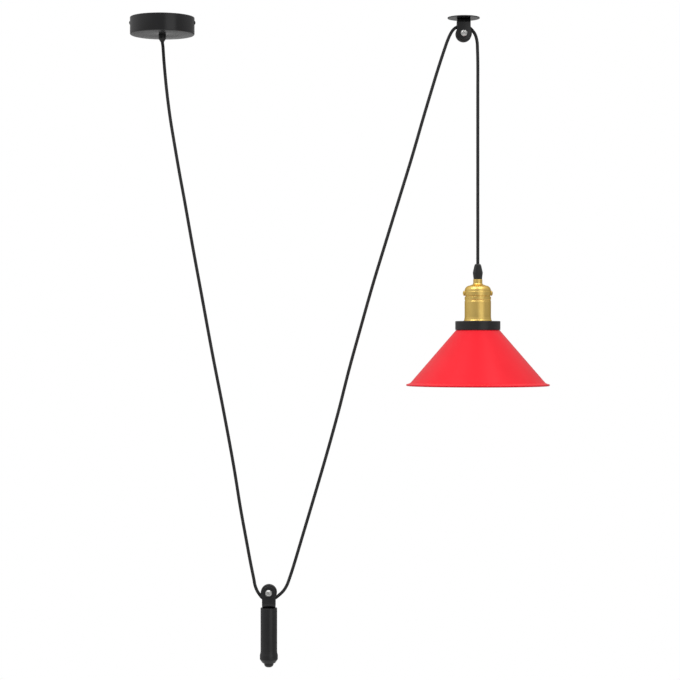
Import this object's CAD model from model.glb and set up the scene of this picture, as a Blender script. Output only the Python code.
"""Rise and fall pendant: a red cone shade on a braided cord with a counterweight.

The cord runs from the ceiling rose down under the counterweight's sheave, up over the ceiling
sheave and down to the lampholder. The pendant's sizes are in millimetres and become metres where
a mesh is made. The studio's are in metres. The origin is the rose's centre on the ceiling.
"""

import logging
import math
from dataclasses import dataclass, replace
from enum import Enum
from typing import Callable, Iterator, Sequence

import bmesh
import bpy
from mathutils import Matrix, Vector


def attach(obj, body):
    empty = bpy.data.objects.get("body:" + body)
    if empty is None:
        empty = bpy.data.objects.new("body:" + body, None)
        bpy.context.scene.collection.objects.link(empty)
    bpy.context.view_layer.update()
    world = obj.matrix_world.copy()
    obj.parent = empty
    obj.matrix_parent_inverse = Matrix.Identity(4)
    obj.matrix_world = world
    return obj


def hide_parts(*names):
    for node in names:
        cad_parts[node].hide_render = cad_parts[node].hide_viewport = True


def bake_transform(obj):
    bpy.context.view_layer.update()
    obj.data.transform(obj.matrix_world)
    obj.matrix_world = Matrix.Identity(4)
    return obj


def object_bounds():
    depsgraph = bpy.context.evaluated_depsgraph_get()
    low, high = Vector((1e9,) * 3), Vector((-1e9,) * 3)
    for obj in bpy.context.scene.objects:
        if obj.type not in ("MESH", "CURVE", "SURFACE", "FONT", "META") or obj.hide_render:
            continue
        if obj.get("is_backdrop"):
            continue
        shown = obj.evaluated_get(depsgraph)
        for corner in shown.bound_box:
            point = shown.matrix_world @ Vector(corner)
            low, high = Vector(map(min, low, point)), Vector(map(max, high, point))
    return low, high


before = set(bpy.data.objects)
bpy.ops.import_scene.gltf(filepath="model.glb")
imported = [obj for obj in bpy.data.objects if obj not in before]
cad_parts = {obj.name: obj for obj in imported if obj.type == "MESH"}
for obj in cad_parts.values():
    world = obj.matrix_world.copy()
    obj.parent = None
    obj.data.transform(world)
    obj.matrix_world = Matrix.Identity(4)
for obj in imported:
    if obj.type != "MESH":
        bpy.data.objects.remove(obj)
CAD_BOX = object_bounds()

MM = 0.001
WEIGHT_X = 165.5
PULLEY_X = 468.0
LAMP_X = 490.0
NUMBER = "NodeSocketFloat"
COLOUR = "NodeSocketColor"
Colour = tuple[float, float, float]
Point = tuple[float, float, float]
Flat = tuple[float, float]
log = logging.getLogger("pendant")


class Body(Enum):
    """Rigid bodies of the pendant."""

    CEILING = "ceiling"
    CEILING_SHEAVE = "ceiling_sheave"
    WEIGHT = "weight"
    WEIGHT_SHEAVE = "weight_sheave"
    LAMP = "lamp"


class Slot(Enum):
    """Material slots of the pendant's record."""

    LACQUER = "black_lacquer"
    PLASTIC = "black_plastic"
    ZINC = "zinc_steel"
    NICKEL = "bright_steel"
    GILT = "polished_brass"
    BRASS = "plain_brass"
    BRAID = "black_braid"
    CORES = "core_insulation"
    NYLON = "nylon"
    PORCELAIN = "porcelain"
    ENAMEL = "red_enamel"


# ---------------------------------------------------------------- shader graphs


class Graph:
    """Adds nodes to one node tree and links them."""

    def __init__(self, tree: bpy.types.NodeTree) -> None:
        """Keep the tree, which is a material's, a world's or a group's."""
        self.tree = tree
        self.count = 0

    @classmethod
    def fresh(cls, owner: bpy.types.Material | bpy.types.World) -> "Graph":
        """Empty the node tree of a material or a world and start on it.

        Args:
            owner: the material or the world.

        Returns:
            Its graph.
        """
        owner.use_nodes = True
        owner.node_tree.nodes.clear()
        return cls(owner.node_tree)

    def feed(self, socket: bpy.types.NodeSocket, value: object) -> None:
        """Link a socket to another node's output, or write a value into it.

        Args:
            socket: the input.
            value: an output, a number, a vector or a colour.
        """
        if isinstance(value, bpy.types.NodeSocket):
            self.tree.links.new(value, socket)
        elif socket.type == "RGBA" and len(value) == 3:
            socket.default_value = (*value, 1.0)
        else:
            socket.default_value = value

    def add(self, kind: str, **values: object) -> bpy.types.Node:
        """Add a node.

        Args:
            kind: the node's type name.
            values: properties to set, and inputs as in_NAME or in_0 for an index.

        Returns:
            The new node.
        """
        node = self.tree.nodes.new(kind)
        node.location = (200 * (self.count % 8), -180 * (self.count // 8))
        self.count += 1
        for key, value in values.items():
            if not key.startswith("in_"):
                setattr(node, key, value)
        for key, value in values.items():
            if key.startswith("in_"):
                name = key[3:]
                self.feed(node.inputs[int(name) if name.isdigit() else name.replace("_", " ")], value)
        return node

    def group(self, tree: bpy.types.NodeTree, **values: object) -> bpy.types.NodeOutputs:
        """Place a node group with its own values, and return its outputs."""
        inputs = {f"in_{name}": value for name, value in values.items()}
        return self.add("ShaderNodeGroup", node_tree=tree, **inputs).outputs

    def place(self) -> bpy.types.NodeSocket:
        """Return the place of a point on the object."""
        return self.add("ShaderNodeTexCoord").outputs["Object"]

    def parts(self, vector: bpy.types.NodeSocket) -> bpy.types.NodeOutputs:
        """Return a vector's X, Y and Z."""
        return self.add("ShaderNodeSeparateXYZ", in_0=vector).outputs

    def maths(self, operation: str, *inputs: object) -> bpy.types.NodeSocket:
        """Work out a Math node's operation on numbers or sockets."""
        values = {f"in_{i}": v for i, v in enumerate(inputs)}
        return self.add("ShaderNodeMath", operation=operation, **values).outputs[0]

    def mix(self, factor: object, a: object, b: object) -> bpy.types.NodeSocket:
        """Mix two colours, the factor being the share of the second."""
        return self.add("ShaderNodeMix", data_type="RGBA", in_0=factor, in_6=a, in_7=b).outputs[2]

    def noise(
        self, place: bpy.types.NodeSocket, scale: object, detail: float, roughness: float = 0.5
    ) -> bpy.types.NodeSocket:
        """Add a noise texture.

        Args:
            place: where the noise is read.
            scale: its size, as a number or a socket.
            detail: its octaves.
            roughness: how strong the finer octaves are.

        Returns:
            The noise, from 0 to 1.
        """
        values = {"in_Vector": place, "in_Scale": scale, "in_Detail": detail, "in_Roughness": roughness}
        return self.add("ShaderNodeTexNoise", **values).outputs[0]

    def span(
        self,
        value: bpy.types.NodeSocket,
        low: float,
        high: float,
        to: Flat = (0.0, 1.0),
        smooth: bool = False,
    ) -> bpy.types.NodeSocket:
        """Map one range of values onto another and hold its ends.

        Args:
            value: the value.
            low: the value that gives the first of to.
            high: the value that gives the second of to.
            to: ends of the new range.
            smooth: whether it eases in and out.

        Returns:
            The mapped value.
        """
        course = "SMOOTHSTEP" if smooth else "LINEAR"
        values = {"in_0": value, "in_1": low, "in_2": high, "in_3": to[0], "in_4": to[1]}
        return self.add("ShaderNodeMapRange", interpolation_type=course, **values).outputs[0]

    def surface(
        self, shader: bpy.types.Node, colour: object, roughness: object, height: bpy.types.NodeSocket
    ) -> None:
        """Feed a material's shader and put it out.

        Args:
            shader: the Principled shader.
            colour: its base colour.
            roughness: its roughness.
            height: relief in millimetres, which becomes a bump.
        """
        bump = self.add("ShaderNodeBump", in_Strength=1.0, in_Distance=MM, in_Height=height)
        for name, value in (("Base Color", colour), ("Roughness", roughness), ("Normal", bump.outputs[0])):
            self.feed(shader.inputs[name], value)
        self.add("ShaderNodeOutputMaterial", in_Surface=shader.outputs[0])


def new_group(
    name: str, inputs: dict[str, float | Colour], outputs: dict[str, str]
) -> tuple[Graph, bpy.types.NodeOutputs, bpy.types.NodeInputs]:
    """Start a shader node group.

    Args:
        name: the group's name.
        inputs: name to default, a number or a colour.
        outputs: name to socket type.

    Returns:
        The group's graph, what it is given and what it puts out.
    """
    group = bpy.data.node_groups.new(name, "ShaderNodeTree")
    for key, default in inputs.items():
        colour = isinstance(default, tuple)
        kind = COLOUR if colour else NUMBER
        socket = group.interface.new_socket(name=key, in_out="INPUT", socket_type=kind)
        socket.default_value = (*default, 1.0) if colour else default
    for key, kind in outputs.items():
        group.interface.new_socket(name=key, in_out="OUTPUT", socket_type=kind)
    graph = Graph(group)
    return graph, graph.add("NodeGroupInput").outputs, graph.add("NodeGroupOutput").inputs


class Effects:
    """Node groups that several finishes share."""

    def __init__(self) -> None:
        """Build the groups."""
        self.grain = self._grain()
        self.blotches = self._blotches()
        self.rings = self._rings()
        self.wear = self._wear()

    @staticmethod
    def _grain() -> bpy.types.NodeTree:
        """Fine skin of a paint or a moulding: two sizes of noise.

        Returns:
            The group.
        """
        g, given, out = new_group("Fine grain", {"Scale": 900.0}, {"Height": NUMBER})
        fine_times, coarse_share, fine_share = 3.7, 0.65, 0.35
        place = g.place()
        coarse = g.noise(place, given["Scale"], detail=2.0)
        fine = g.noise(place, g.maths("MULTIPLY", given["Scale"], fine_times), detail=3.0)
        total = g.maths("MULTIPLY_ADD", coarse, coarse_share, g.maths("MULTIPLY", fine, fine_share))
        g.feed(out["Height"], total)
        return g.tree

    @staticmethod
    def _blotches() -> bpy.types.NodeTree:
        """Slow change from one colour to another, as of handling or plating.

        Returns:
            The group.
        """
        g, given, out = new_group(
            "Slow blotches",
            {"Scale": 40.0, "First": (0.5, 0.5, 0.5), "Second": (0.4, 0.4, 0.4)},
            {"Color": COLOUR, "Mask": NUMBER},
        )
        noise = g.noise(g.place(), given["Scale"], detail=5.0, roughness=0.6)
        mask = g.span(noise, 0.35, 0.65, smooth=True)
        g.feed(out["Color"], g.mix(mask, given["First"], given["Second"]))
        g.feed(out["Mask"], mask)
        return g.tree

    @staticmethod
    def _rings() -> bpy.types.NodeTree:
        """Fine rings that turning, spinning or polishing leaves round the vertical axis.

        Returns:
            The group.
        """
        g, given, out = new_group("Turned rings", {"Scale": 2500.0, "Stretch": 0.02}, {"Height": NUMBER})
        place = g.parts(g.place())
        squeezed = g.add(
            "ShaderNodeCombineXYZ",
            in_0=g.maths("MULTIPLY", place[0], given["Stretch"]),
            in_1=g.maths("MULTIPLY", place[1], given["Stretch"]),
            in_2=place[2],
        )
        g.feed(out["Height"], g.noise(squeezed.outputs[0], given["Scale"], detail=3.0))
        return g.tree

    @staticmethod
    def _wear() -> bpy.types.NodeTree:
        """Rubbed edges, broken up by noise.

        Returns:
            The group.
        """
        g, given, out = new_group("Rubbed edges", {"Amount": 0.3}, {"Mask": NUMBER})
        edge = g.span(g.add("ShaderNodeNewGeometry").outputs["Pointiness"], 0.53, 0.62)
        broken = g.span(g.noise(g.place(), 260.0, detail=6.0), 0.42, 0.62)
        g.feed(out["Mask"], g.maths("MULTIPLY", g.maths("MULTIPLY", edge, broken), given["Amount"]))
        return g.tree


# ---------------------------------------------------------------- finishes


@dataclass(frozen=True)
class Finish:
    """A surface finish of a hard piece. Its depths are in millimetres."""

    name: str
    slot: Slot
    colour: Colour
    second: Colour
    blotch_scale: float = 30.0
    metallic: float = 0.0
    roughness: float = 0.4
    roughness_spread: float = 0.06
    specular: float = 0.5
    edge: Colour = (1.0, 1.0, 1.0)
    coat: float = 0.0
    coat_roughness: float = 0.06
    grain_scale: float = 900.0
    grain_depth: float = 0.01
    ring_scale: float = 2500.0
    ring_depth: float = 0.0
    ring_gloss: float = 0.0
    wear: float = 0.0
    wear_colour: Colour = (0.2, 0.2, 0.2)
    wear_roughness: float = 0.15

    def build(self, effects: Effects) -> bpy.types.Material:
        """Make the material.

        Args:
            effects: the shared node groups.

        Returns:
            The material.
        """
        material = bpy.data.materials.new(self.name)
        g = Graph.fresh(material)
        shader = g.add(
            "ShaderNodeBsdfPrincipled",
            in_Metallic=self.metallic,
            in_Specular_IOR_Level=self.specular,
            in_Specular_Tint=self.edge,
            in_Coat_Weight=self.coat,
            in_Coat_Roughness=self.coat_roughness,
        )
        blotches = g.group(effects.blotches, Scale=self.blotch_scale, First=self.colour, Second=self.second)
        colour = blotches["Color"]
        smoothest = self.roughness - self.roughness_spread / 2
        roughness = g.maths("MULTIPLY_ADD", blotches["Mask"], self.roughness_spread, smoothest)
        grain = g.group(effects.grain, Scale=self.grain_scale)["Height"]
        height = g.maths("MULTIPLY", grain, self.grain_depth)
        if self.ring_depth or self.ring_gloss:
            rings = g.group(effects.rings, Scale=self.ring_scale)["Height"]
            height = g.maths("MULTIPLY_ADD", rings, self.ring_depth, height)
            roughness = g.maths("MULTIPLY_ADD", rings, self.ring_gloss, roughness)
        if self.wear:
            wear = g.group(effects.wear, Amount=self.wear)["Mask"]
            colour = g.mix(wear, colour, self.wear_colour)
            roughness = g.maths("MULTIPLY_ADD", wear, self.wear_roughness, roughness)
        g.surface(shader, colour, roughness, height)
        return material


@dataclass(frozen=True)
class Braid:
    """Textile braid of the cord, drawn over the tube's own relief from its UV map."""

    name: str = "Black braid"
    slot: Slot = Slot.BRAID
    yarn: Colour = (0.022, 0.022, 0.023)
    lit: Colour = (0.050, 0.050, 0.052)
    gap: Colour = (0.009, 0.009, 0.009)
    specular: float = 0.25
    roughness: float = 0.6
    roughness_spread: float = 0.25
    threads: float = 6.0
    thread_depth: float = 0.03
    thread_fleck: float = 0.3
    least_fleck: float = 0.1
    crown_start: float = -0.2
    grain_scale: float = 1800.0
    grain_depth: float = 0.05

    def build(self, effects: Effects) -> bpy.types.Material:
        """Make the material.

        Args:
            effects: the shared node groups.

        Returns:
            The material.
        """
        material = bpy.data.materials.new(self.name)
        g = Graph.fresh(material)
        shader = g.add("ShaderNodeBsdfPrincipled", in_Specular_IOR_Level=self.specular)
        uv = g.parts(g.add("ShaderNodeUVMap", uv_map="UVMap").outputs[0])
        turn = g.maths("MULTIPLY", uv[0], math.tau)
        along = g.maths("MULTIPLY", uv[1], math.tau)
        yarns, threads = [], []
        for side in (1.0, -1.0):
            phase = g.maths("ADD", turn, g.maths("MULTIPLY", along, side))
            yarns.append(g.maths("COSINE", phase))
            threads.append(g.maths("SINE", g.maths("MULTIPLY", phase, self.threads)))
        over = g.maths("GREATER_THAN", *yarns)
        thread = g.add("ShaderNodeMix", in_0=over, in_2=threads[1], in_3=threads[0]).outputs[0]
        crown = g.span(g.maths("MAXIMUM", *yarns), self.crown_start, 1.0)
        grain = g.group(effects.grain, Scale=self.grain_scale)["Height"]
        fuzz = g.maths("ADD", grain, self.least_fleck)
        fleck = g.maths("MULTIPLY", crown, g.maths("MULTIPLY_ADD", thread, self.thread_fleck, fuzz))
        colour = g.mix(crown, self.gap, self.yarn)
        colour = g.mix(g.maths("MINIMUM", g.maths("MAXIMUM", fleck, 0.0), 1.0), colour, self.lit)
        roughness = g.maths("MULTIPLY_ADD", grain, self.roughness_spread, self.roughness)
        skin = g.maths("MULTIPLY", grain, self.grain_depth)
        height = g.maths("MULTIPLY_ADD", thread, self.thread_depth, skin)
        g.surface(shader, colour, roughness, height)
        return material


LACQUER = Finish(
    "Black lacquer", Slot.LACQUER, (0.0092, 0.0092, 0.0098), (0.0115, 0.0115, 0.0126), roughness=0.26,
    specular=0.46, grain_scale=700.0, grain_depth=0.008, wear=0.3, wear_colour=(0.05, 0.05, 0.052),
)
TURNED_LACQUER = replace(
    LACQUER, name="Black lacquer on turned steel", roughness=0.32, grain_scale=900.0, ring_scale=1600.0,
    ring_depth=0.01, ring_gloss=0.06,
)
PLASTIC = Finish(
    "Black moulded plastic", Slot.PLASTIC, (0.0115, 0.0115, 0.012), (0.015, 0.015, 0.0155), roughness=0.34,
    roughness_spread=0.1, specular=0.4, grain_scale=2200.0, grain_depth=0.012, wear=0.2,
    wear_colour=(0.04, 0.04, 0.042),
)
ZINC = Finish(
    "Zinc plated steel", Slot.ZINC, (0.50, 0.505, 0.50), (0.40, 0.41, 0.40), blotch_scale=160.0, metallic=1.0,
    roughness=0.4, roughness_spread=0.14, grain_scale=1400.0, grain_depth=0.01,
)
NICKEL = Finish(
    "Bright nickel plate", Slot.NICKEL, (0.57, 0.57, 0.56), (0.53, 0.53, 0.52), blotch_scale=120.0,
    metallic=1.0, roughness=0.4, roughness_spread=0.06, grain_scale=2400.0, grain_depth=0.003,
)
GILT = Finish(
    "Polished brass", Slot.GILT, (0.88, 0.625, 0.190), (0.83, 0.58, 0.170), blotch_scale=55.0, metallic=1.0,
    roughness=0.36, roughness_spread=0.08, edge=(1.0, 0.82, 0.48), grain_scale=1500.0, grain_depth=0.003,
    ring_scale=1500.0, ring_depth=0.004, ring_gloss=0.06, wear=0.25, wear_colour=(0.75, 0.6, 0.28),
)
BRASS = Finish(
    "Plain brass", Slot.BRASS, (0.60, 0.45, 0.17), (0.46, 0.33, 0.12), blotch_scale=120.0, metallic=1.0,
    roughness=0.34, roughness_spread=0.12, grain_scale=1500.0, grain_depth=0.006,
)
RED_ENAMEL = Finish(
    "Red enamel", Slot.ENAMEL, (0.94, 0.018, 0.032), (0.91, 0.015, 0.028), blotch_scale=9.0, roughness=0.34,
    roughness_spread=0.05, specular=0.35, edge=(1.0, 0.25, 0.27), grain_scale=420.0, grain_depth=0.02,
)
WHITE_ENAMEL = Finish(
    "White enamel", Slot.ENAMEL, (0.84, 0.835, 0.81), (0.8, 0.79, 0.765), blotch_scale=14.0, roughness=0.3,
    roughness_spread=0.08, grain_scale=420.0, grain_depth=0.02,
)
PORCELAIN = Finish(
    "Glazed porcelain", Slot.PORCELAIN, (0.83, 0.81, 0.76), (0.76, 0.73, 0.67), blotch_scale=90.0,
    roughness=0.18, roughness_spread=0.08, coat=0.6, grain_scale=500.0, grain_depth=0.02,
)
NYLON = Finish(
    "Natural nylon", Slot.NYLON, (0.78, 0.77, 0.71), (0.72, 0.71, 0.65), blotch_scale=90.0, roughness=0.45,
    roughness_spread=0.1, grain_scale=1600.0, grain_depth=0.012,
)
BROWN_CORE = Finish(
    "Brown insulation", Slot.CORES, (0.13, 0.05, 0.022), (0.1, 0.038, 0.017), roughness=0.38,
    grain_depth=0.006,
)
BLUE_CORE = replace(
    BROWN_CORE, name="Blue insulation", colour=(0.02, 0.12, 0.42), second=(0.016, 0.1, 0.36)
)
EARTH_CORE = replace(
    BROWN_CORE, name="Green and yellow insulation", colour=(0.05, 0.3, 0.06), second=(0.75, 0.6, 0.04),
    blotch_scale=420.0,
)
BRAID = Braid()
BRAID_END = Finish(
    "Cord sheath", Slot.BRAID, (0.012, 0.012, 0.013), (0.02, 0.02, 0.021), blotch_scale=900.0, roughness=0.7,
    specular=0.25, grain_scale=1800.0, grain_depth=0.05,
)


class Paintbox:
    """Builds each finish once and puts it on objects."""

    def __init__(self) -> None:
        """Build the shared effects."""
        self.effects = Effects()
        self.made: dict[str, bpy.types.Material] = {}

    def material(self, finish: Finish | Braid) -> bpy.types.Material:
        """Find or build a finish's material.

        Args:
            finish: the finish.

        Returns:
            Its material.
        """
        if finish.name not in self.made:
            self.made[finish.name] = finish.build(self.effects)
        return self.made[finish.name]

    def node(self, finish: Finish | Braid, *names: str) -> None:
        """Put a finish on nodes of the frame.

        Args:
            finish: the finish.
            names: the nodes' names.
        """
        for name in names:
            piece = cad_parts[name]
            if not piece.material_slots:
                piece.data.materials.append(None)
            for slot in piece.material_slots:
                slot.material = self.material(finish)
            log.info("%s: %s", name, finish.name)

    def piece(
        self, piece: bpy.types.Object, node: str, body: Body | None, *finishes: Finish | Braid
    ) -> None:
        """Let a new piece take a node's place, dress it and let it ride.

        Args:
            piece: the piece.
            node: the node of the frame that it replaces.
            body: the body that it rides on, or None for one that is blended.
            finishes: the finishes, in the order of the mesh's material indices.
        """
        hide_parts(node)
        for finish in finishes:
            piece.data.materials.append(self.material(finish))
        if body:
            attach(piece, body.value)
        log.info("%s: %d faces, %s", piece.name, len(piece.data.polygons), finishes[0].name)


# ---------------------------------------------------------------- meshes


def arc(centre: Flat, radius: float, start: float, end: float, steps: int) -> list[Flat]:
    """Points on an arc.

    Args:
        centre: its centre.
        radius: its radius.
        start: first angle in degrees.
        end: last angle in degrees.
        steps: number of chords.

    Returns:
        The points, both ends among them.
    """
    turns = [math.radians(start + (end - start) * i / steps) for i in range(steps + 1)]
    return [(centre[0] + radius * math.cos(a), centre[1] + radius * math.sin(a)) for a in turns]


def round_turns(count: int) -> list[float]:
    """Angles of even points on a circle."""
    return [math.tau * k / count for k in range(count)]


def rounded(corners: Sequence[Point], closed: bool = True, steps: int = 5) -> list[Flat]:
    """Round the corners of a line.

    Args:
        corners: x, y and corner radius of each point.
        closed: whether the last point joins the first.
        steps: chords in each rounded corner.

    Returns:
        The points of the rounded line.
    """
    points: list[Flat] = []
    count = len(corners)
    longest_share = 0.49
    for i, (x, y, radius) in enumerate(corners):
        here = Vector((x, y))
        if radius <= 0 or (not closed and i in (0, count - 1)):
            points.append((x, y))
            continue
        before = Vector(corners[i - 1][:2]) - here
        after = Vector(corners[(i + 1) % count][:2]) - here
        half = before.angle(after) / 2
        reach = min(radius / math.tan(half), longest_share * before.length, longest_share * after.length)
        first, last = here + before.normalized() * reach, here + after.normalized() * reach
        r = reach * math.tan(half)
        middle = here + (before.normalized() + after.normalized()).normalized() * (r / math.sin(half))
        start = math.atan2(*(first - middle).yx)
        sweep = math.atan2(*(last - middle).yx) - start
        sweep = (sweep + math.pi) % math.tau - math.pi
        turns = [start + sweep * k / steps for k in range(steps + 1)]
        points += [(middle.x + r * math.cos(a), middle.y + r * math.sin(a)) for a in turns]
    return points


def finish_mesh(name: str, mesh: bmesh.types.BMesh, sharp_degrees: float = 32.0) -> bpy.types.Object:
    """Turn a bmesh into an object with smooth faces and sharp edges.

    Args:
        name: the object's name.
        mesh: the bmesh, in metres. It is freed.
        sharp_degrees: edges above this angle stay sharp.

    Returns:
        The new object.
    """
    bmesh.ops.recalc_face_normals(mesh, faces=mesh.faces)
    data = bpy.data.meshes.new(name)
    mesh.to_mesh(data)
    mesh.free()
    data.shade_smooth()
    data.set_sharp_from_angle(angle=math.radians(sharp_degrees))
    piece = bpy.data.objects.new(name, data)
    bpy.context.scene.collection.objects.link(piece)
    return piece


def lofted(
    name: str,
    rings: Sequence[Sequence[Point]],
    closed: bool = False,
    capped: bool = True,
    sharp_degrees: float = 32.0,
    index: Callable[[int], int] = lambda row: 0,
) -> bpy.types.Object:
    """Skin a row of closed rings.

    Args:
        name: the object's name.
        rings: rings of points in millimetres, all of one length.
        closed: whether the last ring joins the first.
        capped: whether the end rings are closed by a face.
        sharp_degrees: edges above this angle stay sharp.
        index: material index of the band that follows a ring.

    Returns:
        The new object.
    """
    mesh = bmesh.new()
    rows = [[mesh.verts.new((x * MM, y * MM, z * MM)) for x, y, z in ring] for ring in rings]
    count = len(rows[0])
    pairs = list(zip(rows, rows[1:])) + ([(rows[-1], rows[0])] if closed else [])
    for row, (low, high) in enumerate(pairs):
        for k in range(count):
            n = (k + 1) % count
            mesh.faces.new((low[k], low[n], high[n], high[k])).material_index = index(row)
    if capped and not closed:
        mesh.faces.new(rows[0][::-1])
        mesh.faces.new(rows[-1])
    bmesh.ops.remove_doubles(mesh, verts=mesh.verts, dist=1e-7)
    return finish_mesh(name, mesh, sharp_degrees)


def turned(
    name: str,
    profile: Sequence[Flat],
    x: float,
    segments: int = 128,
    closed: bool = True,
    index: Callable[[int], int] = lambda row: 0,
    axle: float | None = None,
) -> bpy.types.Object:
    """Turn a profile about a vertical axis, or about a level one that runs along Y.

    Args:
        name: the object's name.
        profile: radius of each point and its place along the axis, in millimetres.
        x: place of the axis along X.
        segments: faces round the axis.
        closed: whether the profile closes on itself.
        index: material index of the band that follows a point.
        axle: height of a level axis, or None for a vertical one.

    Returns:
        The new object.
    """
    rings = []
    turns = round_turns(segments)
    for r, along in profile:
        spots = [(x + r * math.cos(a), r * math.sin(a)) for a in turns]
        rings.append([(p, q, along) if axle is None else (p, along, axle + q) for p, q in spots])
    return lofted(name, rings, closed=closed, capped=False, index=index)


def threaded(
    name: str,
    x: float,
    z_range: Flat,
    radii: Callable[[float, float], Flat],
    rows: int = 150,
    segments: int = 96,
) -> bpy.types.Object:
    """Sleeve whose outside and inside radius change with height and angle, such as a thread.

    Args:
        name: the object's name.
        x: place of the axis along X.
        z_range: its lowest and highest height.
        radii: outside and inside radius at a height and an angle.
        rows: number of bands up its height.
        segments: faces round the axis.

    Returns:
        The new object.
    """
    heights = [z_range[0] + (z_range[1] - z_range[0]) * i / rows for i in range(rows + 1)]
    turns = round_turns(segments)
    rings = []
    for side, order in ((0, heights), (1, heights[::-1])):
        for z in order:
            spots = [(radii(z, a)[side], a) for a in turns]
            rings.append([(x + r * math.cos(a), r * math.sin(a), z) for r, a in spots])
    return lofted(name, rings, closed=True, capped=False, sharp_degrees=60.0)


def smooth_line(corners: Sequence[Flat], step: float) -> list[Vector]:
    """Lay a smooth curve through points, which makes no loop where they lie close.

    Args:
        corners: the points.
        step: about twice the distance between the points that come back.

    Returns:
        Points on the curve, with the given ones among them.
    """
    knots = [Vector(c) for c in corners]
    ends = [knots[0] * 2 - knots[1], *knots, knots[-1] * 2 - knots[-2]]
    shortest, fewest = 1e-6, 4
    line: list[Vector] = []
    for four in zip(ends, ends[1:], ends[2:], ends[3:]):
        times = [0.0]
        for p, q in zip(four, four[1:]):
            times.append(times[-1] + max((q - p).length, shortest) ** 0.5)
        pieces = max(fewest, int((four[2] - four[1]).length / (step * 0.5)))
        for k in range(pieces):
            t = times[1] + (times[2] - times[1]) * k / pieces
            legs = [p.lerp(q, (t - u) / (v - u)) for p, q, u, v in zip(four, four[1:], times, times[1:])]
            bends = [p.lerp(q, (t - u) / (v - u)) for p, q, u, v in zip(legs, legs[1:], times, times[2:])]
            line.append(bends[0].lerp(bends[1], (t - times[1]) / (times[2] - times[1])))
    line.append(knots[-1])
    return line


def smooth_route(corners: Sequence[Flat], step: float) -> list[Flat]:
    """Lay a smooth curve through points and divide it evenly.

    Args:
        corners: the points in X and Z, in millimetres.
        step: distance between the points that come back.

    Returns:
        The even points, with the first and last given point among them.
    """
    line = smooth_line(corners, step)
    lengths = [0.0]
    for p, q in zip(line, line[1:]):
        lengths.append(lengths[-1] + (q - p).length)
    count = max(2, round(lengths[-1] / step))
    even: list[Flat] = []
    at = 0
    for k in range(count + 1):
        want = lengths[-1] * k / count
        while at < len(line) - 2 and lengths[at + 1] < want:
            at += 1
        share = (want - lengths[at]) / max(lengths[at + 1] - lengths[at], 1e-9)
        even.append(tuple(line[at].lerp(line[at + 1], min(1.0, share))))
    return even


def route_length(points: Sequence[Sequence[float]]) -> float:
    """Add up the lengths between points, in their own unit."""
    return sum(math.dist(p, q) for p, q in zip(points, points[1:]))


def wire_tube(name: str, corners: Sequence[Point], radius: float, bend: float) -> bpy.types.Object:
    """Round wire through points, with rounded bends.

    Args:
        name: the object's name.
        corners: its points in millimetres.
        radius: the wire's radius.
        bend: how far from its corner a bend starts.

    Returns:
        The new object.
    """
    sides, bend_steps, longest_share = 16, 8, 0.45
    spots = [Vector(c) for c in corners]
    path = [spots[0]]
    for before, here, after in zip(spots, spots[1:], spots[2:]):
        a = here + (before - here).normalized() * min(bend, (before - here).length * longest_share)
        b = here + (after - here).normalized() * min(bend, (after - here).length * longest_share)
        for k in range(bend_steps + 1):
            t = k / bend_steps
            path.append(a.lerp(here, t).lerp(here.lerp(b, t), t))
    path.append(spots[-1])
    rings = []
    turns = round_turns(sides)
    normal = Vector((0.31, 0.42, 0.85))  # any way that no wire runs
    for i, spot in enumerate(path):
        way = (path[min(i + 1, len(path) - 1)] - path[max(i - 1, 0)]).normalized()
        normal = (normal - way * normal.dot(way)).normalized()
        other = way.cross(normal)
        rings.append([tuple(spot + (normal * math.cos(a) + other * math.sin(a)) * radius) for a in turns])
    return lofted(name, rings, sharp_degrees=60.0)


# ---------------------------------------------------------------- the cord


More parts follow.
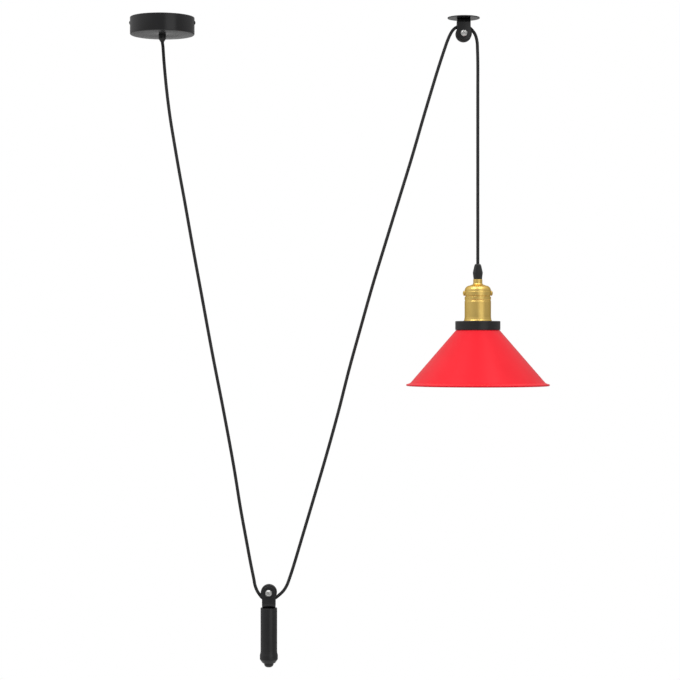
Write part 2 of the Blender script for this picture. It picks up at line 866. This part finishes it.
@dataclass
class CordStretch:
    """One stretch of the braided cord, with the relief of its plaited yarns."""

    name: str
    node: str
    route: Sequence[Flat]
    far_body: Body
    blend_start: Point
    blend_end: Point
    diameter: float = 5.0
    carriers: int = 5
    lay: float = 3.0
    rows_per_lay: int = 4
    sides: int = 20
    relief: float = 0.13
    relief_sunk: float = 0.8

    def build(self, paint: Paintbox) -> None:
        """Make the tube, dress it, and declare its blend and its length.

        Args:
            paint: the finishes.
        """
        points = smooth_route(self.route, self.lay / self.rows_per_lay)
        piece = self.tube(points)
        paint.piece(piece, self.node, None, BRAID)
        path = [(x * MM, 0.0, z * MM) for x, z in points]
        length = route_length(path)
        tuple(self.blend_start)
        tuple(self.blend_end)
        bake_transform(piece)
        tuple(path[0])
        log.info("%s: %.3f m", self.name, length)

    def radius(self, turn: float, travel: float) -> float:
        """Radius of the plaited surface.

        Args:
            turn: angle round the cord.
            travel: way along it, as an angle of one turn to a lay.

        Returns:
            The radius in millimetres.
        """
        phase = self.carriers * turn
        plait = max(math.cos(phase + travel), math.cos(phase - travel))
        return self.diameter / 2 + self.relief * (0.5 * (plait + 1) - self.relief_sunk)

    def tube(self, points: Sequence[Flat]) -> bpy.types.Object:
        """Make the tube, with a UV map of carriers round it by lays along it.

        Args:
            points: even points of its route.

        Returns:
            The stretch's object.
        """
        step = route_length(points) / (len(points) - 1)
        mesh = bmesh.new()
        uv = mesh.loops.layers.uv.new("UVMap")
        rows = []
        for i, (x, z) in enumerate(points):
            before, after = points[max(i - 1, 0)], points[min(i + 1, len(points) - 1)]
            way = Vector((after[0] - before[0], after[1] - before[1])).normalized()
            row = []
            for turn in round_turns(self.sides):
                r = self.radius(turn, math.tau * (i * step / self.lay))
                side, front = r * math.cos(turn), r * math.sin(turn)
                row.append(mesh.verts.new(((x + side * way.y) * MM, front * MM, (z - side * way.x) * MM)))
            rows.append(row)
        for i, (low, high) in enumerate(zip(rows, rows[1:])):
            for k in range(self.sides):
                n = (k + 1) % self.sides
                face = mesh.faces.new((low[k], low[n], high[n], high[k]))
                corners = ((k, i), (k + 1, i), (k + 1, i + 1), (k, i + 1))
                for loop, (turn, row) in zip(face.loops, corners):
                    loop[uv].uv = (turn * self.carriers / self.sides, row * step / self.lay)
        mesh.faces.new(rows[0][::-1])
        mesh.faces.new(rows[-1])
        return finish_mesh(self.name, mesh, 70.0)


@dataclass
class Cord:
    """The pendant's one cord, in its three stretches."""

    to_weight: Sequence[Flat] = (
        (0, -37.6), (1, -45), (2.5, -66.5), (6.5, -110), (12, -154), (19, -197),
        (26.5, -240.5), (34.5, -284), (46, -349), (62, -436), (78, -523), (95, -610), (111, -697),
        (121.5, -762), (129.5, -806), (137.5, -849), (142, -871), (144, -881.5), (147, -889.5),
        (150, -894.5), (153.5, -899.2), (157.5, -902.6), (161.5, -904.5), (165.5, -905.1),
    )
    to_ceiling: Sequence[Flat] = (
        (165.5, -905.1), (169.5, -904.5), (173.5, -902.7), (177, -900.3), (181, -897), (185, -893.5),
        (189, -889), (193.5, -881.5), (197.5, -871), (204.5, -849.5), (217.5, -806), (237, -740.5),
        (256, -675.5), (274, -610), (290.5, -545), (308.5, -480), (327, -414.5), (347, -349),
        (367, -284), (387, -219), (406, -153.5), (419, -110), (425.5, -88.5), (432.5, -66.5),
        (439.5, -45.5), (442.5, -37), (446.5, -27.5), (451, -20), (456, -15.5), (462, -13.3),
        (468, -12.9),
    )
    to_lamp: Sequence[Flat] = (
        (468, -12.9), (473, -13.7), (478, -16.5), (482, -20.5), (485.5, -25.5), (487.5, -31),
        (489, -38.5), (489.5, -49), (490, -69), (490, -119), (490, -200), (490, -300),
        (490, -382.5),
    )

    def build(self, paint: Paintbox) -> None:
        """Build the three stretches.

        Args:
            paint: the finishes.
        """
        stretches = (
            CordStretch("cord_down_to_weight", "cord_rose_to_weight", self.to_weight, Body.WEIGHT,
                        (0.0, 0.0, -0.06), (0.155, 0.0, -0.86)),
            CordStretch("cord_up_to_pulley", "cord_weight_to_ceiling", self.to_ceiling, Body.WEIGHT,
                        (0.45, 0.0, -0.05), (0.18, 0.0, -0.86)),
            CordStretch("cord_down_to_lamp", "cord_ceiling_to_lamp", self.to_lamp, Body.LAMP,
                        (0.49, 0.0, -0.06), (0.49, 0.0, -0.375)),
        )
        for stretch in stretches:
            stretch.build(paint)
        paint.node(BRAID_END, "rose_cord_tail", "lamp_cord_tail")


# ---------------------------------------------------------------- ceiling rose


@dataclass
class CeilingRose:
    """Cover, cord grip and the wiring inside."""

    radius: float = 50.0
    height: float = 27.0
    wall: float = 1.2
    edge: float = 2.0
    hole: float = 5.1
    grip_radius: float = 5.7
    grip_height: float = 10.6
    grip_taper: float = 4.5
    grip_tip: float = 2.9
    bore: float = 2.55
    stem: float = 4.95
    stem_height: float = 8.2
    core_radius: float = 0.55
    core_bend: float = 1.4
    core_spread: float = 1.3
    core_start: float = -15.0
    core_level: float = -13.4
    row_depth: float = -11.0
    row_pitch: float = 1.6
    first_pole: float = 13.0
    pole_pitch: float = 7.0
    clamp_level: float = -7.0
    clamp_depth: float = -2.0

    def build(self, paint: Paintbox) -> None:
        """Build and dress the rose.

        Args:
            paint: the finishes.
        """
        paint.piece(self.cover(), "rose_cover", Body.CEILING, LACQUER)
        paint.piece(self.grip(), "rose_cord_grip", Body.CEILING, PLASTIC)
        for piece, finish in zip(self.cores(), (BROWN_CORE, EARTH_CORE, BLUE_CORE)):
            paint.piece(piece, "rose_cores", Body.CEILING, finish)
        paint.node(LACQUER, "rose_side_screws")
        paint.node(ZINC, "rose_bracket", "rose_grip_nut", "rose_terminal_screws", "rose_block_screw")
        paint.node(BRASS, "rose_terminal_clamps")
        paint.node(NYLON, "rose_terminal_block")

    def cover(self) -> bpy.types.Object:
        """Make the round cover.

        Returns:
            Its object.
        """
        r, h, w, e = self.radius, self.height, self.wall, self.edge
        profile = rounded(
            [(r - w, 0, 0.25), (r, 0, 0.5), (r, -h, e), (self.hole, -h, 0.3), (self.hole, -h + w, 0.3),
             (r - w, -h + w, e - w)],
            steps=10,
        )
        return turned("rose_cover_shell", profile, 0.0, segments=160)

    def grip(self) -> bpy.types.Object:
        """Make the bullet-shaped cord grip.

        Returns:
            Its object.
        """
        low, tip = -self.height, -self.height - self.grip_height
        g, b, s, top = self.grip_radius, self.bore, self.stem, low + self.stem_height
        profile = rounded(
            [(b, top, 0.2), (s, top, 0.5), (s, low, 0.0), (g, low, 0.4), (g, tip + self.grip_taper, 3.0),
             (self.grip_tip, tip, 0.4), (b, tip, 0.1)],
            steps=8,
        )
        return turned("rose_grip_body", profile, 0.0, segments=64)

    def cores(self) -> Iterator[bpy.types.Object]:
        """Make the three insulated cores, from the cord to the terminal block.

        Yields:
            Each core's object.
        """
        level, clamp = self.core_level, self.clamp_level
        for k in range(3):
            x, pole = self.core_spread * (1 - k), self.first_pole + self.pole_pitch * k
            y = self.row_depth - self.row_pitch * k
            corners = [
                (x, 0, self.core_start), (x, 0, level), (x, y, level), (pole, y, level), (pole, y, clamp),
                (pole, self.clamp_depth, clamp),
            ]
            yield wire_tube(f"rose_core_{k}", corners, self.core_radius, self.core_bend)


# ---------------------------------------------------------------- pulleys and weight


@dataclass
class PulleyBlock:
    """Strap bent into a U, with a grooved sheave on a bolt between its cheeks."""

    end: str
    body: Body
    sheave_body: Body
    x: float
    axle: float
    back: float
    drop: float = 23.8
    width: float = 20.8
    thickness: float = 3.0
    gap: float = 15.0
    bend: float = 7.5
    outer_ease: float = 0.8
    inner_ease: float = 0.3
    ease_steps: int = 4
    end_steps: int = 12
    bend_steps: int = 8
    sheave_radius: float = 12.5
    sheave_half: float = 6.7
    hub_radius: float = 6.2
    hub_half: float = 7.2
    bore: float = 4.07
    groove_depth: float = 2.7
    groove_half: float = 5.0

    def build(self, paint: Paintbox) -> None:
        """Build and dress the block.

        Args:
            paint: the finishes.
        """
        paint.piece(self.strap(), f"{self.end}_fork", self.body, LACQUER)
        paint.piece(self.sheave(), f"{self.end}_sheave", self.sheave_body, PLASTIC)
        paint.node(NICKEL, f"{self.end}_axle_bolt")
        paint.node(BRASS, f"{self.end}_axle_bush")
        paint.node(ZINC, f"{self.end}_axle_nut")

    def section(self) -> list[Flat]:
        """List the strap's edge from its outer to its inner face.

        Returns:
            Inset from the strap's side and depth below its outer face, point by point.
        """
        quarter = [math.pi / 2 * k / self.ease_steps for k in range(self.ease_steps + 1)]
        outer, inner, t = self.outer_ease, self.inner_ease, self.thickness
        points = [(outer * (1 - math.sin(a)), outer * (1 - math.cos(a))) for a in quarter]
        return points + [(inner * (1 - math.cos(a)), t - inner * (1 - math.sin(a))) for a in quarter]

    def strap(self) -> bpy.types.Object:
        """Make the fork, round at its two ends.

        Returns:
            Its object.
        """
        cheek, knee = self.gap / 2 + self.thickness, self.drop - self.bend
        half = []
        for k in range(self.end_steps + 1):
            half.append((-cheek, 0.0, math.pi, math.pi / 2 * (1 - k / self.end_steps)))
        for k in range(self.bend_steps + 1):
            turn = math.pi - math.pi / 2 * k / self.bend_steps
            y, z = -cheek + self.bend + self.bend * math.cos(turn), knee + self.bend * math.sin(turn)
            half.append((y, z, turn, 0.0))
        other = [(-y, z, math.pi - turn, end) for y, z, turn, end in reversed(half)]
        rings = [self.ring(*station) for station in half + other]
        return lofted(f"{self.end}_fork_strap", rings, capped=False)

    def ring(self, y: float, z: float, turn: float, end: float) -> list[Point]:
        """Lay the strap's section at one station.

        Args:
            y: place of the outer face along Y.
            z: its distance from the axle towards the strap's back.
            turn: direction in which the outer face looks, as an angle from +Y.
            end: angle by which the station has gone round the strap's round end.

        Returns:
            The section's points.
        """
        points = []
        for side, edge in ((1, self.section()), (-1, self.section()[::-1])):
            for inset, depth in edge:
                reach = self.width / 2 - inset
                across = side * reach * math.cos(end)
                away = z - math.sin(turn) * depth - reach * math.sin(end)
                points.append((self.x + across, y - math.cos(turn) * depth, self.axle + self.back * away))
        return points

    def sheave(self) -> bpy.types.Object:
        """Make the sheave with its groove and hub.

        Returns:
            Its object.
        """
        r, w, hub = self.sheave_radius, self.sheave_half, self.hub_radius
        groove = (self.groove_half ** 2 + self.groove_depth ** 2) / (2 * self.groove_depth)
        opening = math.degrees(math.asin(self.groove_half / groove))
        flange = rounded(
            [(self.bore, -self.hub_half, 0.0), (hub, -self.hub_half, 0.4), (hub, -w, 0.2), (r, -w, 0.7),
             (r, -self.groove_half, 0.0)],
            closed=False,
        )
        floor = arc((r - self.groove_depth + groove, 0.0), groove, 180 + opening, 180 - opening, 18)
        profile = flange + floor[1:-1] + [(q, -y) for q, y in reversed(flange)]
        return turned(f"{self.end}_sheave_wheel", profile, self.x, segments=96, axle=self.axle)


@dataclass
class Pulleys:
    """The ceiling's pulley on its plate and the counterweight's pulley."""

    ceiling_axle: float = -25.3
    weight_axle: float = -892.7

    def build(self, paint: Paintbox) -> None:
        """Build both pulleys.

        Args:
            paint: the finishes.
        """
        paint.node(LACQUER, "pulley_plate", "ceiling_fork_rivet")
        for end, body, sheave_body, x, axle, back in (
            ("ceiling", Body.CEILING, Body.CEILING_SHEAVE, PULLEY_X, self.ceiling_axle, 1.0),
            ("weight", Body.WEIGHT, Body.WEIGHT_SHEAVE, WEIGHT_X, self.weight_axle, -1.0),
        ):
            PulleyBlock(end, body, sheave_body, x, axle, back).build(paint)


@dataclass
class Counterweight:
    """Turned steel barrel with its swollen foot and end knob."""

    x: float = WEIGHT_X
    top: float = -916.5
    foot: float = -990.0
    barrel_radius: float = 12.9
    middle_radius: float = 2.6
    swell_height: float = 7.0
    swell_steps: int = 12
    foot_radius: float = 14.0
    foot_height: float = 6.3
    chamfer_height: float = 5.8
    end_radius: float = 9.9
    knob_radius: float = 7.4
    knob_height: float = 6.7
    knob_collar: float = 1.4

    @property
    def end(self) -> float:
        """Height of the barrel's lower end."""
        return self.foot - self.foot_height - self.chamfer_height

    def build(self, paint: Paintbox) -> None:
        """Build and dress the counterweight.

        Args:
            paint: the finishes.
        """
        paint.piece(self.barrel(), "weight_barrel", Body.WEIGHT, TURNED_LACQUER)
        paint.piece(self.knob(), "weight_end_knob", Body.WEIGHT, LACQUER)
        paint.node(ZINC, "weight_fork_screw")

    def barrel(self) -> bpy.types.Object:
        """Make the barrel.

        Returns:
            Its object.
        """
        b, f, top, foot, end = self.barrel_radius, self.foot_radius, self.top, self.foot, self.end
        swell = []
        for k in range(self.swell_steps + 1):
            share = k / self.swell_steps
            r = b + (f - b) * (1 - math.cos(math.pi / 2 * k / self.swell_steps))
            swell.append((r, foot + self.swell_height * (1 - share)))
        upper = rounded([(self.middle_radius, top, 0.0), (b, top, 0.7), (*swell[0], 0.0)], closed=False)
        lower = rounded(
            [(f, foot, 0.0), (f, foot - self.foot_height, 1.0), (self.end_radius, end, 0.4),
             (0.0, end, 0.0)],
            closed=False,
        )
        profile = [(0.0, top), *upper, *swell[1:], *lower]
        return turned("weight_barrel_body", profile, self.x, segments=96, closed=False)

    def knob(self) -> bpy.types.Object:
        """Make the end knob.

        Returns:
            Its object.
        """
        r, end, corner = self.knob_radius, self.end, self.knob_height - self.knob_collar
        profile = [
            (0.0, end), (r, end), *arc((r - corner, end - self.knob_collar), corner, 0, -90, 12),
            (0.0, end - self.knob_height),
        ]
        return turned("weight_knob_body", profile, self.x, segments=64, closed=False)


# ---------------------------------------------------------------- lampholder


@dataclass
class Lampholder:
    """Cord grip, brass cap and shell, porcelain insert and lamp socket."""

    x: float = LAMP_X
    grip_top: float = -382.5
    grip_height: float = 24.0
    grip_width: float = 16.0
    grip_bore: float = 2.55
    stem_radius: float = 4.95
    core_radius: float = 0.55
    core_bend: float = 2.0
    core_spread: float = 1.3
    core_drop: float = 9.5
    terminal_pitch: float = 9.0
    terminal_drop: float = 2.3
    terminal_lead: float = 6.0
    cap_height: float = 25.4
    cap_radius: float = 20.9
    cap_hole: float = 5.05
    neck_radius: float = 7.1
    neck_fillet: float = 3.0
    dome_height: float = 15.7
    dome_radius: float = 8.0
    dome_wall: float = 1.1
    shell_radius: float = 20.45
    shell_height: float = 39.4
    shell_neck: float = 19.3
    shell_bore: float = 18.6
    skirt_radius: float = 19.5
    skirt_length: float = 27.4
    skirt_rise: float = 0.3
    lip_height: float = 1.4
    lip_radius: float = 16.5
    thread_pitch: float = 2.0
    thread_depth: float = 0.55
    thread_fade: float = 1.5
    lead_in: float = 0.3
    lead_in_height: float = 0.8
    socket_radius: float = 13.3
    socket_rise: float = 6.6
    socket_length: float = 26.0
    socket_sheet: float = 0.5
    socket_end: float = 6.0
    socket_pitch: float = 3.63
    socket_thread: float = 1.0

    @property
    def neck_top(self) -> float:
        """Height of the cap's neck."""
        return self.grip_top - self.grip_height

    @property
    def cap_rim(self) -> float:
        """Height of the cap's lower edge."""
        return self.neck_top - self.cap_height

    @property
    def shell_foot(self) -> float:
        """Height at which the shell stands on the shade's ring."""
        return self.cap_rim - self.shell_height

    @property
    def skirt_range(self) -> Flat:
        """Lowest and highest height of the skirt."""
        return self.shell_foot - self.skirt_length, self.shell_foot + self.skirt_rise

    @property
    def socket_range(self) -> Flat:
        """Lowest and highest height of the lamp socket's screw shell."""
        return self.shell_foot + self.socket_rise - self.socket_length, self.shell_foot + self.socket_rise

    def build(self, paint: Paintbox) -> None:
        """Build and dress the lampholder.

        Args:
            paint: the finishes.
        """
        paint.piece(self.grip(), "lamp_cord_grip", Body.LAMP, PLASTIC)
        paint.piece(self.cap(), "holder_cap", Body.LAMP, GILT)
        paint.piece(self.shell(), "holder_shell", Body.LAMP, GILT)
        paint.piece(self.skirt(), "holder_shell", Body.LAMP, GILT)
        paint.piece(self.socket(), "holder_screw_shell", Body.LAMP, BRASS)
        for piece, finish in zip(self.cores(), (BROWN_CORE, BLUE_CORE, EARTH_CORE)):
            paint.piece(piece, "lamp_cores", Body.LAMP, finish)
        paint.node(GILT, "holder_side_screws")
        paint.node(ZINC, "holder_sleeve_screws")
        paint.node(PORCELAIN, "holder_insert")
        paint.node(BRASS, "holder_centre_contact", "holder_terminal_screws")

    def grip(self) -> bpy.types.Object:
        """Make the six-sided cord grip with its stem.

        Returns:
            Its object.
        """
        w, top, low = self.grip_width / 2, self.grip_top, self.neck_top
        s, b = self.stem_radius, self.grip_bore
        outer = [
            (w - 4.5, top), (w - 4.1, top - 0.3), (w - 3.1, top - 1.3), (w - 2.6, top - 2.3),
            (w - 2.3, top - 3.4), (w - 0.1, low + 10.6), (w, low + 10.2), (w - 0.1, low + 9.8),
            (w - 1.2, low + 0.5), (w - 1.5, low + 0.1), (w - 1.9, low),
        ]
        stem = [
            (s, low), (s, low - 7.8), (s - 0.35, low - 8.2), (b, low - 8.2), (b, low), (b, top - 0.4),
            (b + 0.2, top),
        ]
        rings = [self.hexagon(r, z) for r, z in outer] + [self.circle(r, z) for r, z in stem]
        return lofted("lamp_grip_body", rings, closed=True, capped=False)

    def hexagon(self, corner: float, z: float, ease: float = 1.1) -> list[Point]:
        """Hexagon with eased corners.

        Args:
            corner: distance of its corners from the axis.
            z: its height.
            ease: radius of the corners.

        Returns:
            Its points, 36 in all.
        """
        turns = [math.radians(60 * k) for k in range(6)]
        outline = rounded([(corner * math.cos(a), corner * math.sin(a), ease) for a in turns])
        return [(self.x + px, py, z) for px, py in outline]

    def circle(self, radius: float, z: float) -> list[Point]:
        """Circle whose points stand opposite those of the hexagon."""
        turns = [math.atan2(y, x - self.x) for x, y, _ in self.hexagon(10.0, 0.0)]
        return [(self.x + radius * math.cos(a), radius * math.sin(a), z) for a in turns]

    def cores(self) -> Iterator[bpy.types.Object]:
        """Make the three insulated cores from the cord to the terminals.

        Yields:
            Each core's object.
        """
        top, terminal = self.neck_top - self.core_drop, self.cap_rim - self.terminal_drop
        stations = (
            (self.core_spread, top),
            (self.terminal_pitch, terminal + self.terminal_lead),
            (self.terminal_pitch, terminal),
        )
        for k, angle in enumerate((90, 210, 330)):
            across, along = math.cos(math.radians(angle)), math.sin(math.radians(angle))
            corners = [(self.x + reach * across, reach * along, z) for reach, z in stations]
            yield wire_tube(f"lamp_core_{k}", corners, self.core_radius, self.core_bend)

    def cap(self) -> bpy.types.Object:
        """Make the domed cap with its neck.

        Returns:
            Its object.
        """
        top, rim, hole = self.neck_top, self.cap_rim, self.cap_hole
        n, c, f = self.neck_radius, self.cap_radius, self.neck_fillet
        shoulder, knee = c - 0.5 - self.dome_radius, rim + self.dome_height - self.dome_radius
        neck = rounded([(hole, top, 0.0), (n, top, 0.5), (n, rim + 20.0, 0.0)], closed=False)
        fillet = arc((n + f, rim + 19.9), f, 180, 266, 8)
        dome = arc((shoulder, knee), self.dome_radius, 86, 0, 12)
        band = rounded(
            [(c - 0.5, knee - 0.5, 0.0), (c - 0.5, rim + 6.6, 0.4), (c, rim + 6.1, 0.4), (c, rim, 0.4),
             (c - 1.0, rim, 0.2), (c - 1.0, rim + 5.0, 0.5), (c - 1.6, rim + 6.0, 0.5),
             (c - 1.6, knee, 0.0)],
            closed=False,
        )
        inside = arc((shoulder, knee), self.dome_radius - self.dome_wall, 0, 90, 10)
        inside.append((hole, rim + self.dome_height - self.dome_wall))
        return turned("holder_cap_body", neck + fillet + dome + band + inside, self.x)

    def shell(self) -> bpy.types.Object:
        """Make the shell, from the neck inside the cap to its flared foot.

        Returns:
            Its object.
        """
        rim, foot = self.cap_rim, self.shell_foot
        s, neck, bore = self.shell_radius, self.shell_neck, self.shell_bore
        profile = rounded(
            [(neck, rim + 7.4, 0.3), (neck, rim - 1.7, 0.2), (s, rim - 1.7, 0.4), (s, rim - 5.9, 0.6),
             (s - 0.45, rim - 6.6, 0.6), (s - 0.45, rim - 8.2, 0.6), (s, rim - 8.9, 0.6),
             (s, foot + 6.0, 3.0), (s + 0.55, foot + 2.2, 3.0), (s + 1.3, foot + 0.7, 0.5),
             (s + 1.3, foot, 0.3), (bore, foot, 0.0), (bore, foot + 2.0, 0.0), (s - 1.1, foot + 2.0, 0.0),
             (s - 1.1, rim - 4.6, 0.0), (bore, rim - 4.6, 0.0), (bore, rim + 7.4, 0.3)],
            steps=6,
        )
        return turned("holder_shell_body", profile, self.x)

    def skirt(self) -> bpy.types.Object:
        """Make the threaded skirt that the clamping ring runs on."""
        return threaded("holder_skirt_thread", self.x, self.skirt_range, self.skirt_radii)

    def skirt_radii(self, z: float, angle: float) -> Flat:
        """Work out the skirt's radii, with its thread and its inner lip.

        Args:
            z: a height.
            angle: an angle round the axis.

        Returns:
            Its outside and inside radius there.
        """
        end, top = self.skirt_range
        up, down = z - end, top - 0.6 - z
        turn = (up / self.thread_pitch - angle / math.tau) % 1.0
        fade = max(0.0, min(1.0, up / self.thread_fade, down / self.thread_fade))
        outside = self.skirt_radius - self.thread_depth * abs(2 * turn - 1) * fade
        outside -= self.lead_in * (1 - min(1.0, up / self.lead_in_height))
        return outside, (self.lip_radius if z < end + self.lip_height else self.shell_bore)

    def socket(self) -> bpy.types.Object:
        """Make the lamp socket's screw shell."""
        return threaded("holder_socket_thread", self.x, self.socket_range, self.socket_radii)

    def socket_radii(self, z: float, angle: float) -> Flat:
        """Work out the screw shell's radii, with its rolled thread and its closed end.

        Args:
            z: a height.
            angle: an angle round the axis.

        Returns:
            Its outside and inside radius there.
        """
        mouth, top = self.socket_range
        turn = (z - mouth) / self.socket_pitch - angle / math.tau
        wave = 0.5 - 0.5 * math.cos(math.tau * turn)
        fade = max(0.0, min(1.0, (z - mouth - 0.6) / 2.0, (top - 4.6 - z) / 1.5))
        drawn_in = 1.0 - fade if z > top - 6.1 else 0.0
        outside = self.socket_radius + self.socket_sheet - self.socket_thread * wave * fade - drawn_in
        return outside, (outside - self.socket_sheet if z < top - 0.45 else self.socket_end)


# ---------------------------------------------------------------- shade


@dataclass
class Shade:
    """Spun metal cone with a rolled rim, and the rings that hold it."""

    x: float = LAMP_X
    top: float = -484.9
    top_radius: float = 33.5
    hole_radius: float = 19.8
    cone_radius: float = 104.6
    cone_height: float = 82.3
    rim_radius: float = 109.8
    rim_drop: float = 3.4
    bead: float = 1.5
    sheet: float = 0.8

    def build(self, paint: Paintbox) -> None:
        """Build and dress the shade.

        Args:
            paint: the finishes.
        """
        paint.piece(self.cone(), "shade", Body.LAMP, RED_ENAMEL, WHITE_ENAMEL)
        paint.node(PLASTIC, "shade_gallery", "shade_clamp_ring")

    def cone(self) -> bpy.types.Object:
        """Make the cone: red outside, white inside.

        Returns:
            Its object.
        """
        z, t = self.top, self.sheet
        end = z - self.cone_height
        rim = end - self.rim_drop
        outer = rounded(
            [(self.hole_radius, z, 0.0), (self.top_radius, z, 1.8), (self.cone_radius, end, 5.0),
             (self.rim_radius - 0.6, rim + self.bead - 0.15, 0.0)],
            closed=False, steps=8,
        )
        bead = arc((self.rim_radius, rim), self.bead, 95, -150, 20)
        inner = rounded(
            [(self.rim_radius - 1.5, rim + 0.35, 0.0), (self.cone_radius - 0.55, end - 0.65, 5.0),
             (self.top_radius - 0.35, z - t, 1.4), (self.hole_radius, z - t, 0.0)],
            closed=False, steps=8,
        )
        red = len(outer) + len(bead) - 1
        profile = outer + bead + inner
        return turned("shade_cone", profile, self.x, segments=192, index=lambda row: 0 if row < red else 1)


# ---------------------------------------------------------------- studio


@dataclass
class Studio:
    """Camera, soft light, world and floor, in metres, with the camera's sensor in millimetres."""

    camera_place: Point = (0.276, -3.106, -0.5007)
    focal_pixels: float = 2000.0
    frame_pixels: float = 680.0
    sensor: float = 36.0
    middle: Point = (0.27, 0.0, -0.45)
    floor_height: float = -3.2
    floor_half: float = 9.0

    def build(self) -> None:
        """Set up the camera, the lights, the world and the floor."""
        self.camera()
        self.world()
        self.light("key_light", (-0.8, -1.0, 1.9), (1.2, 1.2), 23.5)
        self.light("strip_light", (1.6, -2.3, -0.3), (1.8, 2.2), 8.6)
        self.light("top_light", (1.3, -1.0, 1.9), (1.1, 1.1), 17.4)
        self.floor()

    def camera(self) -> None:
        """Place the camera level in front of the pendant."""
        data = bpy.data.cameras.new("camera")
        data.sensor_width = self.sensor
        data.lens = self.focal_pixels / self.frame_pixels * self.sensor
        data.clip_end = 100.0
        piece = bpy.data.objects.new("camera", data)
        piece.location = self.camera_place
        piece.rotation_euler = (math.pi / 2, 0.0, 0.0)
        bpy.context.scene.collection.objects.link(piece)
        bpy.context.scene.camera = piece

    @staticmethod
    def shown(g: Graph, bounced: object = 1.0) -> bpy.types.NodeSocket:
        """Tell the rays that show the backdrop from those that light the pendant.

        Args:
            g: the world's or the floor's graph.
            bounced: share for glossy and transmission rays.

        Returns:
            1 for a camera ray, that share for a glossy or transmission ray, and 0 for any other.
        """
        path = g.add("ShaderNodeLightPath").outputs
        bounce = g.maths("MAXIMUM", path["Is Glossy Ray"], path["Is Transmission Ray"])
        return g.maths("MAXIMUM", path["Is Camera Ray"], g.maths("MULTIPLY", bounce, bounced))

    def world(self) -> None:
        """Make a white backdrop and a soft surround, brightest above, on the left and at the sides."""
        world = bpy.data.worlds.new("surround")
        g = Graph.fresh(world)
        across, away, up = g.parts(g.add("ShaderNodeTexCoord").outputs["Generated"])
        sky = g.span(up, -0.8, 0.8, (0.13, 0.82))
        left_to_right = g.span(across, -1.0, 1.0, (1.14, 0.76))
        front_to_side = g.span(away, -1.0, 0.0, (0.72, 1.16))
        side_to_back = g.span(away, 0.25, 0.85, (1.0, 0.55))
        for share in (left_to_right, front_to_side, side_to_back):
            sky = g.maths("MULTIPLY", sky, share)
        backdrop = g.span(away, 0.985, 0.998, smooth=True)
        strength = g.maths("MULTIPLY_ADD", g.maths("SUBTRACT", 1.0, sky), self.shown(g, backdrop), sky)
        shader = g.add("ShaderNodeBackground", in_Color=(1.0, 1.0, 1.0), in_Strength=strength)
        g.add("ShaderNodeOutputWorld", in_Surface=shader.outputs[0])
        bpy.context.scene.world = world

    def light(self, name: str, place: Point, size: Flat, power: float) -> None:
        """Add a soft lamp that looks at the middle of the pendant.

        Args:
            name: its name.
            place: its place.
            size: its width and height.
            power: its power in watts.
        """
        data = bpy.data.lights.new(name, "AREA")
        data.shape = "RECTANGLE"
        data.size, data.size_y = size
        data.energy = power
        piece = bpy.data.objects.new(name, data)
        piece.location = place
        piece.rotation_euler = (Vector(self.middle) - Vector(place)).to_track_quat("-Z", "Y").to_euler()
        bpy.context.scene.collection.objects.link(piece)

    def floor(self) -> None:
        """Lay a plain pale floor below the pendant, paler to the camera than to the light."""
        h, z = self.floor_half, self.floor_height
        corners = [(self.middle[0] + x * h, y * h, z) for x, y in ((-1, -1), (1, -1), (1, 1), (-1, 1))]
        mesh = bmesh.new()
        mesh.faces.new([mesh.verts.new(corner) for corner in corners])
        piece = finish_mesh("floor", mesh)
        material = bpy.data.materials.new("Pale floor")
        g = Graph.fresh(material)
        shader = g.add(
            "ShaderNodeBsdfPrincipled",
            in_Base_Color=g.mix(self.shown(g), (0.5, 0.5, 0.495), (0.96, 0.96, 0.955)),
            in_Roughness=0.7,
            in_Specular_IOR_Level=0.2,
        )
        g.add("ShaderNodeOutputMaterial", in_Surface=shader.outputs[0])
        piece.data.materials.append(material)
        piece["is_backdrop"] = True


def write_size() -> None:
    """Write the frame's box and the dressed model's box.
    """
    boxes = {
        name: [[float(v) for v in corner] for corner in box]
        for name, box in (("cad", CAD_BOX), ("visual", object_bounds()))
    }


def main() -> None:
    """Build the pendant and its studio."""
    logging.basicConfig(level=logging.INFO, format="%(message)s")
    bpy.context.scene.view_settings.view_transform = "Standard"
    Studio().build()
    paint = Paintbox()
    for part in (Cord(), CeilingRose(), Pulleys(), Counterweight(), Lampholder(), Shade()):
        part.build(paint)
        log.info("built %s", type(part).__name__)
    write_size()


if __name__ == "__main__":
    main()
